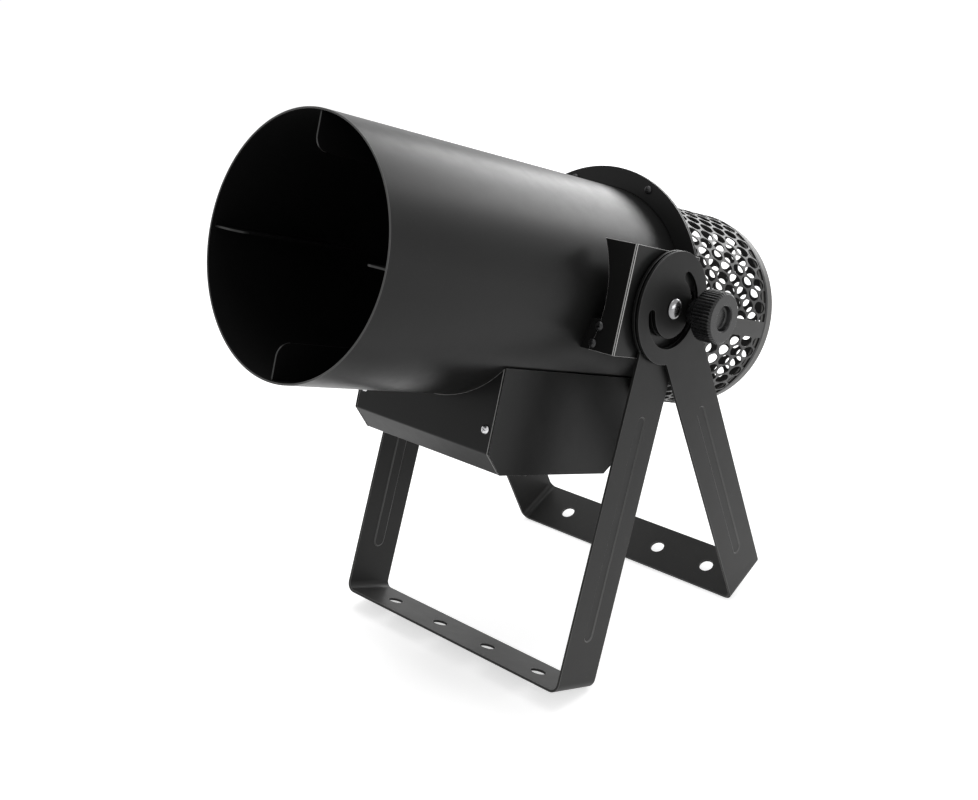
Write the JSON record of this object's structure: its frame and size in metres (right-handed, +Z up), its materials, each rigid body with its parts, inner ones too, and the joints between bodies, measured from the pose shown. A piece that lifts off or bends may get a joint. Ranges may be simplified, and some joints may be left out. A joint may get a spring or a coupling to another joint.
{
  "type": "confetti blower",
  "caption": "Floor-standing confetti blower: tilting sheet-metal barrel with axial fan, perforated intake cage, control box and two nested clamp-set yokes.",
  "frame": {"origin": "on the floor, under the middle of the whole blower's bounding box, with both yokes standing", "axes": "+Z up; the muzzle points towards -Y, tipped up by 17.55 degrees; +X is the side nearest the camera in the picture, and the controls are on the -X side"},
  "size_m": [0.341, 0.5724, 0.5073],
  "materials": {
    "powder_black": "satin black powder coat with a fine texture",
    "cage_black": "satin black powder coat on perforated sheet",
    "ring_grey": "satin dark grey paint",
    "dark_plastic": "moulded black plastic, slightly glossy on edges",
    "bright_steel": "bright zinc-plated steel",
    "black_steel": "black oxide",
    "cast_aluminium": "cast and drawn aluminium",
    "washer_nylon": "black nylon",
    "board_green": "green solder mask",
    "transformer_iron": "varnished laminated iron with a taped winding",
    "grommet_rubber": "black rubber"
  },
  "bodies": {
    "barrel": {"barrel_tube": "powder_black", "barrel_flange": "powder_black", "muzzle_fin_right": "powder_black", "muzzle_fin_top": "powder_black", "muzzle_fin_left": "powder_black", "muzzle_fin_bottom": "powder_black", "flange_screw_1": "black_steel", "flange_screw_2": "black_steel", "flange_screw_3": "black_steel", "flange_screw_4": "black_steel", "flange_screw_5": "black_steel", "flange_screw_6": "black_steel", "flange_screw_7": "black_steel", "flange_screw_8": "black_steel", "intake_cage": "cage_black", "cage_rear_ring": "ring_grey", "rear_guard": "cage_black", "confetti_screen": "cage_black", "fan_motor": "cast_aluminium", "motor_mount": "powder_black", "cable_grommet": "grommet_rubber", "side_bracket_right": "powder_black", "bracket_screw_right_1": "black_steel", "bracket_screw_right_2": "black_steel", "bracket_washer_right": "washer_nylon", "disc_washer_right": "washer_nylon", "pivot_bolt_right": "bright_steel", "pivot_nut_right": "bright_steel", "side_bracket_left": "powder_black", "bracket_screw_left_1": "black_steel", "bracket_screw_left_2": "black_steel", "bracket_washer_left": "washer_nylon", "disc_washer_left": "washer_nylon", "pivot_bolt_left": "bright_steel", "pivot_nut_left": "bright_steel", "box_shell": "powder_black", "box_side_right": "powder_black", "box_side_left": "powder_black", "box_screw_front_left": "bright_steel", "box_screw_front_right": "bright_steel", "box_screw_rear_left": "bright_steel", "box_screw_rear_right": "bright_steel", "power_inlet": "dark_plastic", "switch_bezel": "dark_plastic", "fuse_holder": "dark_plastic", "circuit_board": "board_green", "fan_relay": "dark_plastic", "transformer": "transformer_iron", "run_capacitor": "cast_aluminium"},
    "front_yoke": {"front_yoke": "powder_black"},
    "rear_yoke": {"rear_yoke": "powder_black"},
    "fan_rotor": {"motor_shaft": "bright_steel", "impeller": "dark_plastic", "impeller_nut": "bright_steel"},
    "knob_right": {"clamp_knob_right": "dark_plastic", "clamp_stud_right": "bright_steel"},
    "knob_left": {"clamp_knob_left": "dark_plastic", "clamp_stud_left": "bright_steel"},
    "power_switch": {"switch_rocker": "dark_plastic"},
    "fuse_cap": {"fuse_cap": "dark_plastic"}
  },
  "joints": [
    {"name": "front_yoke_tilt", "type": "hinge", "parent": "barrel", "child": "front_yoke", "pos_m": [0, 0.02909, 0.32796], "axis": [1, 0, 0], "range_deg": [-24.1, 208.8]},
    {"name": "rear_yoke_tilt", "type": "hinge", "parent": "barrel", "child": "rear_yoke", "pos_m": [0, 0.02909, 0.32796], "axis": [1, 0, 0], "range_deg": [-68.7, 164.2]},
    {"name": "fan_spin", "type": "hinge", "parent": "barrel", "child": "fan_rotor", "pos_m": [0, 0.02692, 0.32109], "axis": [0, 0.9535, -0.3015], "continuous": true},
    {"name": "knob_turn_right", "type": "hinge", "parent": "barrel", "child": "knob_right", "pos_m": [0.15, 0.05789, 0.31885], "axis": [1, 0, 0], "range_deg": [0, 360]},
    {"name": "knob_turn_left", "type": "hinge", "parent": "barrel", "child": "knob_left", "pos_m": [-0.15, 0.05789, 0.31885], "axis": [-1, 0, 0], "range_deg": [0, 360]},
    {"name": "power_rocker", "type": "hinge", "parent": "barrel", "child": "power_switch", "pos_m": [-0.081, -0.02509, 0.22427], "axis": [0, -0.9535, 0.3015], "range_deg": [0, 20]},
    {"name": "fuse_cap_turn", "type": "hinge", "parent": "barrel", "child": "fuse_cap", "pos_m": [-0.083, -0.05847, 0.23483], "axis": [-1, 0, 0], "range_deg": [0, 90]}
  ]
}
